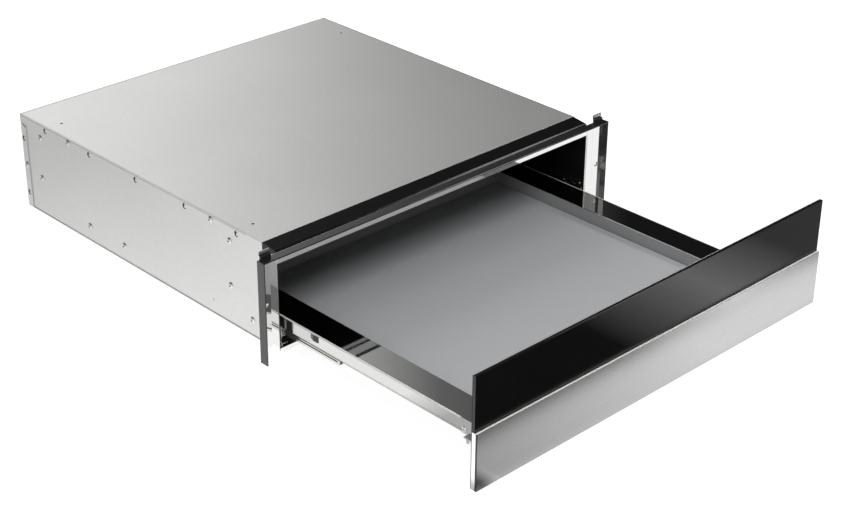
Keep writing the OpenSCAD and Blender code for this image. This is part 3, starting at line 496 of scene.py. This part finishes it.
def add_prism(mesh, near, far):
    """Closes two equal loops of vertices into a solid."""
    mesh.faces.new(near)
    mesh.faces.new(list(reversed(far)))
    count = len(near)
    for i in range(count):
        j = (i + 1) % count
        mesh.faces.new((near[i], far[i], far[j], near[j]))


def add_outline(mesh, points, place, depth):
    """A prism: outline points, a function that puts (u, v, w) in space, and its depth in w."""
    near = [mesh.verts.new(place(u, v, 0)) for u, v in points]
    far = [mesh.verts.new(place(u, v, depth)) for u, v in points]
    add_prism(mesh, near, far)


def add_tube(mesh, outline, place, closed=False, steps=40):
    """A turned solid: (radius, height) outline around a placed axis. A closed outline makes a ring."""
    rows = []
    for radius, height in outline:
        rows.append([mesh.verts.new(place(u, v, height)) for u, v in circle_points(radius, steps)])
    pairs = list(zip(rows, rows[1:]))
    if closed:
        pairs.append((rows[-1], rows[0]))
    for low, high in pairs:
        for s in range(steps):
            t = (s + 1) % steps
            mesh.faces.new((low[s], low[t], high[t], high[s]))
    if not closed:
        mesh.faces.new(list(reversed(rows[0])))
        mesh.faces.new(rows[-1])


def add_screw(mesh, at, axis, radius, height, spin, recess=0):
    """A domed head with a cross recess: the centre of its seat, its axis, and its turn about the axis.

    The recess is measured in shares of the radius and the height. Its faces take the material index recess.
    """
    rings = 9
    steps = 48
    dome = 0.94
    slot_half = 0.1
    slot_reach = 0.44
    slot_depth = 0.5
    turn = Vector((0, 0, 1)).rotation_difference(Vector(axis)).to_matrix()
    rows = []
    sunk = set()
    for ring in range(rings + 1):
        share = ring / rings
        row = []
        for x, y in circle_points(share, steps):
            z = math.sqrt(1 - (share * dome) ** 2)
            u = x * math.cos(spin) + y * math.sin(spin)
            v = -x * math.sin(spin) + y * math.cos(spin)
            in_cross = min(abs(u), abs(v)) < slot_half and max(abs(u), abs(v)) < slot_reach
            if in_cross:
                z -= slot_depth * (1 - share * 0.5)
            vert = mesh.verts.new(Vector(at) + turn @ Vector((x * radius, y * radius, z * height)))
            if in_cross:
                sunk.add(vert)
            row.append(vert)
        rows.append(row)
    rim = [mesh.verts.new(Vector(at) + turn @ Vector((u, v, 0))) for u, v in circle_points(radius, steps)]
    rows.append(rim)
    for inner, outer in zip(rows, rows[1:]):
        for s in range(steps):
            t = (s + 1) % steps
            corners = (inner[s], outer[s], outer[t], inner[t])
            face = mesh.faces.new(corners)
            face.material_index = recess if sum(vert in sunk for vert in corners) >= 3 else 0
    mesh.faces.new(list(reversed(rim)))


def solid_boxes(node):
    """The box of each separate solid of a node, in order of place."""
    mesh = bmesh.new()
    mesh.from_mesh(node.data)
    bmesh.ops.remove_doubles(mesh, verts=mesh.verts, dist=SAME_PLACE)
    left = set(mesh.verts)
    boxes = []
    while left:
        start = left.pop()
        group = [start]
        queue = [start]
        while queue:
            vert = queue.pop()
            for edge in vert.link_edges:
                other = edge.other_vert(vert)
                if other in left:
                    left.discard(other)
                    group.append(other)
                    queue.append(other)
        low = [min(vert.co[i] for vert in group) for i in range(3)]
        high = [max(vert.co[i] for vert in group) for i in range(3)]
        boxes.append((Vector(low), Vector(high)))
    mesh.free()
    return sorted(boxes, key=lambda pair: tuple(pair[0]))


def middle_of(name):
    """X and Y of the middle of a node's box."""
    low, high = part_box(name)
    return (low[0] + high[0]) / 2, (low[1] + high[1]) / 2


def make_screws(node_name, body, materials, radius, shade="screw_shade"):
    """Heads with a cross recess and a thin skirt over the plain screws of a node, each turned its own way:
    painted shade in the recess, a painted contact shadow as the skirt.
    """
    spins = random.Random(7)
    height = radius * 0.5
    # The skirt is a painted contact shadow: a thin ring in the shade finish around each head
    skirt = [(radius * 1.1, 0.0), (radius * 1.1, 0.12 * MM)]
    mesh = bmesh.new()
    for low, high in solid_boxes(nodes[node_name]):
        side = 1 if low.x + high.x > 0 else -1
        crown = high.x if side > 0 else low.x
        centre = Vector((crown - side * height, (low.y + high.y) / 2, (low.z + high.z) / 2))
        add_screw(mesh, centre, (side, 0, 0), radius, height, spins.uniform(0, math.pi), 1)
        first = len(mesh.faces)
        add_tube(mesh, skirt, lambda u, v, w: centre + Vector((side * w, u, v)))
        mesh.faces.ensure_lookup_table()
        for face in mesh.faces[first:]:
            face.material_index = 1
    piece = finish_piece(node_name + "_heads", mesh, materials["screw_steel"], body, smooth=True)
    piece.data.materials.append(materials[shade])
    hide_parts(node_name)


def make_lip_edging(materials):
    """Black edging pushed over the three forward lips of the frame."""
    mesh = bmesh.new()
    low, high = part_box("frame_strip_right")
    skin = 0.35 * MM
    step = 0.1 * MM
    wide = FRAME_SHEET + skin * 2
    face = high[1] - FRAME_SHEET
    front = low[1] - skin * 0.3
    back = high[1] - 0.05 * MM
    outer = high[0] + skin
    inner = outer - wide
    nose = [(0.0, 0.0), (0.25, -0.3), (0.75, -0.45), (1.25, -0.45), (1.75, -0.3), (2.0, 0.0)]
    outline = [(inner + wide * u / 2, front + v * MM) for u, v in nose]
    outline += [(outer, back), (outer - skin, back), (outer - skin, low[1]), (inner + skin, low[1]),
                (inner + skin, face - step), (inner, face - step)]
    foot = low[2] + 0.05 * MM
    length = high[2] - low[2] + 1.6 * MM
    for side in (-1, 1):
        add_outline(mesh, outline, lambda u, v, w: Vector((side * u, v, foot + w)), length)
    tip = high[2] + 2.0 * MM
    under = tip - FRAME_SHEET
    reach = front + 4 * MM
    outline = [(front + v * MM, tip + skin - wide * u / 2) for u, v in nose]
    outline += [(reach, under - skin), (reach, under), (low[1], under), (low[1], tip),
                (face, tip), (face, tip + skin)]
    add_outline(mesh, outline, lambda u, v, w: Vector((w - outer, u, v)), outer * 2)
    finish_piece("frame_lip_edging", mesh, materials["edge_black"], "housing")


def punch_places():
    """The half-moon punches: five along the top cover's side fold, and two on the rear cover's flange."""
    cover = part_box("top_cover")[1]
    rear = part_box("rear_cover")[1]
    places = [(cover[0], PUNCH_FIRST + PUNCH_PITCH * i, cover[2] - 6.6 * MM) for i in range(5)]
    places += [(cover[0], rear[1] - 6 * MM, rear[2] * share) for share in (0.156, 0.748)]
    return places


def make_punch_shades(materials):
    """Painted shade: dark crescents over the half-moon punches and dark discs under the tooling holes, for
    the shadow in the openings.
    """
    mesh = bmesh.new()
    radius = 3.9 * MM
    sunk = 0.06 * MM
    lean = math.radians(-25)
    inner = 0.86
    shift = 0.42
    bow = [math.radians(-120 + 190 * i / 24) for i in range(25)]
    outline = [(radius * math.sin(a), radius * math.cos(a)) for a in bow]
    outline += [(radius * (inner * math.sin(a) - shift * math.sin(lean)),
                 radius * (inner * math.cos(a) - shift * math.cos(lean))) for a in reversed(bow)]
    for x, y, z in punch_places():
        for side in (-1, 1):
            add_outline(mesh, outline, lambda u, v, w: Vector((side * (x - sunk + w), y + v, z + u)),
                        sunk * 2)
    hole = 1.7 * MM
    hole_x = -244.6 * MM
    low_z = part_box("top_cover")[1][2] - 0.5 * MM
    for hole_y in (-197.5 * MM, 201.5 * MM):
        add_tube(mesh, [(hole, 0.0), (hole, 0.56 * MM)],
                 lambda u, v, w: Vector((hole_x + u, hole_y + v, low_z + w)))
    finish_piece("punch_shades", mesh, materials["shade_black"], "housing")


def make_punch_lips(materials):
    """The small pressed lip beside each half-moon opening: a quarter of a bowl."""
    mesh = bmesh.new()
    reach = 2.7 * MM
    lift = 0.55 * MM
    for x, y, z in punch_places():
        for side in (-1, 1):
            rows = []
            for i in range(5):
                climb = math.pi / 2 * i / 4
                span = reach * math.cos(climb)
                row = []
                for s in range(13):
                    angle = math.pi * s / 12 + math.pi / 2
                    row.append(mesh.verts.new(Vector((side * (x + lift * math.sin(climb)),
                                                      y - 0.4 * MM + span * math.cos(angle),
                                                      z + 0.3 * MM + span * math.sin(angle)))))
                rows.append(row)
            for a, b in zip(rows, rows[1:]):
                for s in range(12):
                    if (a[s].co - b[s].co).length > 1e-7:
                        mesh.faces.new((a[s], a[s + 1], b[s + 1], b[s]))
    bmesh.ops.remove_doubles(mesh, verts=mesh.verts, dist=SAME_PLACE)
    finish_piece("punch_lips", mesh, materials["galvanised"], "housing", smooth=True)


def make_grommets(materials):
    """White rings around the fixing holes of the side strips."""
    mesh = bmesh.new()
    hole_x, hole_z = FIXING_HOLE
    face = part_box("frame_strip_right")[1][1] - FRAME_SHEET
    profile = ((2.3, 0.0), (2.3, 0.5), (2.55, 0.65), (2.8, 0.5), (2.85, 0.0))
    outline = [(radius * MM, height * MM) for radius, height in profile]
    for side in (-1, 1):
        add_tube(mesh, outline, lambda u, v, w: Vector((side * hole_x + u, face - w, hole_z + v)),
                 closed=True)
    finish_piece("fixing_grommets", mesh, materials["white_plastic"], "housing", smooth=True)


def make_tab_sleeves(materials):
    """Satin caps over the two tabs that stand above the frame."""
    mesh = bmesh.new()
    outer, _, block_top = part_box("frame_corner_blocks")[1]
    _, strip_back, strip_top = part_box("frame_strip_top")[1]
    inner = outer - 15 * MM
    skin = 0.2 * MM
    corner = 0.8 * MM
    top = strip_top - 0.05 * MM
    shoulder = strip_top - 1.0 * MM
    outline = [(inner - skin, block_top), (outer + skin, block_top), (outer + skin, shoulder),
               (outer - corner, top), (inner + corner, top), (inner - skin, shoulder)]
    back = strip_back + skin
    for side in (-1, 1):
        add_outline(mesh, outline, lambda u, v, w: Vector((side * u, back - w, v)), FRAME_SHEET + skin * 2)
    finish_piece("tab_sleeves", mesh, materials["tab_grey"], "housing")


def make_panel_bead(materials):
    """Sloped bead along the joint between the glass and the steel."""
    mesh = bmesh.new()
    low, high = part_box("steel_skin")
    top = high[2]
    front = low[1] + 0.4 * MM
    back = front + 2.4 * MM
    outline = [(front, top - 0.1 * MM), (back, top - 0.1 * MM), (back, top + 0.3 * MM),
               (front + 1.2 * MM, top + 0.5 * MM), (front + 0.2 * MM, top + 0.3 * MM)]
    add_outline(mesh, outline, lambda u, v, w: Vector((low[0] + w, u, v)), high[0] - low[0])
    finish_piece("panel_joint_bead", mesh, materials["white_plastic"], "drawer")


def make_fold_rounds(materials):
    """The bend radius along the top cover's side and rear folds, and the step of the rear cover's flanges, in
    a darker copy of the galvanised finish: painted shade.
    """
    mesh = bmesh.new()
    low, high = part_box("top_cover")
    radius = 1.8 * MM
    proud = 0.12 * MM
    arc = [math.pi / 2 * i / 8 for i in range(9)]
    outline = [((radius + proud) * math.cos(a), (radius + proud) * math.sin(a)) for a in arc] + [(0.0, 0.0)]
    side_x = high[0] - radius
    rear_y = high[1] - radius
    bend_z = high[2] - radius
    start = low[1] + 30 * MM
    for side in (-1, 1):
        add_outline(mesh, outline, lambda u, v, w: Vector((side * (side_x + u), start + w, bend_z + v)),
                    high[1] - start + proud)
    half = high[0] + proud
    add_outline(mesh, outline, lambda u, v, w: Vector((w - half, rear_y + u, bend_z + v)), half * 2)
    low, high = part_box("rear_cover")
    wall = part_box("right_side")[1][0]
    flange = high[0] + 0.06 * MM
    edge = low[1]
    base = low[2] + 0.5 * MM
    inset = 0.1 * MM
    outline = [(wall - inset, edge - 0.9 * MM), (wall + inset, edge - 0.9 * MM), (flange, edge),
               (flange, edge + 0.5 * MM), (wall - inset, edge + 0.5 * MM)]
    for side in (-1, 1):
        add_outline(mesh, outline, lambda u, v, w: Vector((side * u, v, base + w)), (high[2] - base) * 0.93)
    finish_piece("fold_rounds", mesh, materials["fold_shade_grey"], "housing", smooth=True)


def make_strip_swages(materials):
    """The margin of each side strip rises towards its lip and is flat around the fixing hole."""
    mesh = bmesh.new()
    low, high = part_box("frame_strip_right")
    hole_x, hole_z = FIXING_HOLE
    inner = low[0] + 10.8 * MM
    outer = high[0] - 1.3 * MM
    face = high[1] - FRAME_SHEET
    step = 0.05 * MM
    slope = 2.8 * MM / (outer - inner)
    clear = 3.4 * MM
    arc = [math.pi * (1 - i / 16) for i in range(17)]
    for side in (-1, 1):
        for up, end in ((1, high[2] - 0.1 * MM), (-1, low[2] + 0.1 * MM)):
            outline = [(inner, hole_z)]
            outline += [(hole_x + clear * math.cos(a), hole_z + up * clear * math.sin(a)) for a in arc]
            outline += [(outer, hole_z), (outer, end), (inner, end)]
            near = [mesh.verts.new(Vector((side * x, face, z))) for x, z in outline]
            far = [mesh.verts.new(Vector((side * x, face - step - slope * (x - inner), z)))
                   for x, z in outline]
            add_prism(mesh, near, far)
    finish_piece("strip_swages", mesh, materials["polished_steel"], "housing")


def make_deck_edges(materials):
    """The rolled edge between each ledge of the drawer deck and its skirt, in a pale matte finish: a painted
    highlight along the polished edge.
    """
    mesh = bmesh.new()
    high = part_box("drawer_deck")[1]
    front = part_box("front_carrier")[1][1]
    radius = 1.1 * MM
    centre_x = high[0] - radius + 0.3 * MM
    centre_z = high[2] - radius + 0.25 * MM
    arc = [math.radians(-30 + 150 * i / 8) for i in range(9)]
    outline = [(centre_x + radius * math.cos(a), centre_z + radius * math.sin(a)) for a in arc]
    outline.append((centre_x - radius * 0.5, centre_z - radius * 0.5))
    for side in (-1, 1):
        add_outline(mesh, outline, lambda u, v, w: Vector((side * u, front + w, v)), high[1] - front - 1 * MM)
    finish_piece("deck_edges", mesh, materials["painted_edge_highlight"], "drawer", smooth=True)


def make_runner_grooves(side_name, side, materials):
    """The ball track along the outside of an intermediate runner member, in a dark finish: painted shade in
    the groove.
    """
    mesh = bmesh.new()
    low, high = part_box("middle_member_" + side_name)
    face = max(abs(low[0]), abs(high[0]))
    track_z = low[2] + (high[2] - low[2]) * 0.21
    half = 1.0 * MM
    depth = 0.1 * MM
    inset = 3 * MM
    outline = [(0.0, -half), (depth, depth - half), (depth, half - depth), (0.0, half)]
    add_outline(mesh, outline, lambda u, v, w: Vector((side * (face + u), low[1] + inset + w, track_z + v)),
                high[1] - low[1] - inset * 2)
    finish_piece("runner_grooves_" + side_name, mesh, materials["groove_shade"], "middle_" + side_name)


def make_peg_sleeves(materials):
    """Sleeves with a round tip over the guide pegs."""
    mesh = bmesh.new()
    for low, high in solid_boxes(nodes["guide_pegs"]):
        x = (low.x + high.x) / 2
        y = (low.y + high.y) / 2
        radius = (high.x - low.x) / 2 + 0.9 * MM
        arc = [math.pi / 2 * (i + 1) / 8 for i in range(8)]
        outline = [(radius * math.sin(a), low.z + radius * 0.6 * (1 - math.cos(a))) for a in arc]
        outline.append((radius, high.z))
        add_tube(mesh, outline, lambda u, v, w: Vector((x + u, y + v, w)))
    finish_piece("peg_sleeves", mesh, materials["screw_steel"], "drawer", smooth=True)


def make_wall_marks(materials):
    """Small screws and a spring clip low on each inner wall, beside the runner's front end."""
    mesh = bmesh.new()
    spins = random.Random(3)
    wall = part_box("liner_right")[0][0]
    spots = ((-0.2319, 0.0405, 1.3), (-0.2352, 0.037, 1.0), (-0.2595, 0.0444, 1.5), (-0.2628, 0.0375, 1.2))
    clip_y = -0.2495
    clip_z = 0.0413
    clip = [(4 * MM * u, 1.5 * MM * v) for u, v in circle_points(1, 24)]
    for side in (-1, 1):
        for y, z, radius in spots:
            at = (side * wall, y, z)
            add_screw(mesh, at, (-side, 0, 0), radius * MM, radius * 0.6 * MM, spins.uniform(0, 3))
        add_outline(mesh, clip, lambda u, v, w: Vector((side * (wall - w), clip_y + u, clip_z + u * 0.3 + v)),
                    1.0 * MM)
    finish_piece("wall_screws", mesh, materials["screw_steel"], "housing", smooth=True)


def make_control_marks(materials):
    """Printed dots around the knob, growing with the heat, and a ring around the button."""
    mesh = bmesh.new()
    low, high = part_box("control_plate")
    top = high[2]
    margin = 1 * MM
    print_depth = 0.06 * MM
    knob_x, knob_y = middle_of("temperature_knob")
    for i in range(10):
        angle = math.radians(225 - 30 * i)
        x = knob_x + 14.2 * MM * math.cos(angle)
        y = knob_y + 14.2 * MM * math.sin(angle)
        dot = (0.35 + 0.05 * i) * MM
        if low[1] + margin < y < high[1] - margin and x < high[0] - margin:
            add_tube(mesh, [(dot, 0.0), (dot, print_depth)], lambda u, v, w: Vector((x + u, y + v, top + w)),
                     steps=16)
    button_x, button_y = middle_of("power_button")
    inner = 7.4 * MM
    outer = 7.9 * MM
    ring = [(inner, 0.0), (inner, print_depth), (outer, print_depth), (outer, 0.0)]
    add_tube(mesh, ring, lambda u, v, w: Vector((button_x + u, button_y + v, top + w)), closed=True)
    finish_piece("control_marks", mesh, materials["print_white"], "drawer")


def main():
    """Dresses the model, sets the studio up and adds the detail pieces."""
    make_camera()
    materials = make_materials()
    for name, material in materials.items():
        material["slot"] = SLOTS.get(name, name)
    dress_nodes(materials)
    soften_edges()
    make_floor()
    make_world()
    make_lights()
    make_screws("housing_screws", "housing", materials, 4.3 * MM)
    make_screws("runner_screws", "housing", materials, 4.6 * MM)
    make_screws("drawer_screws", "drawer", materials, 3.1 * MM, shade="fold_shade_grey")
    make_lip_edging(materials)
    make_punch_shades(materials)
    make_punch_lips(materials)
    make_grommets(materials)
    make_tab_sleeves(materials)
    make_panel_bead(materials)
    make_fold_rounds(materials)
    make_strip_swages(materials)
    make_deck_edges(materials)
    make_runner_grooves("left", -1, materials)
    make_runner_grooves("right", 1, materials)
    make_peg_sleeves(materials)
    make_wall_marks(materials)
    make_control_marks(materials)
    bpy.context.scene.view_settings.view_transform = "Standard"


main()
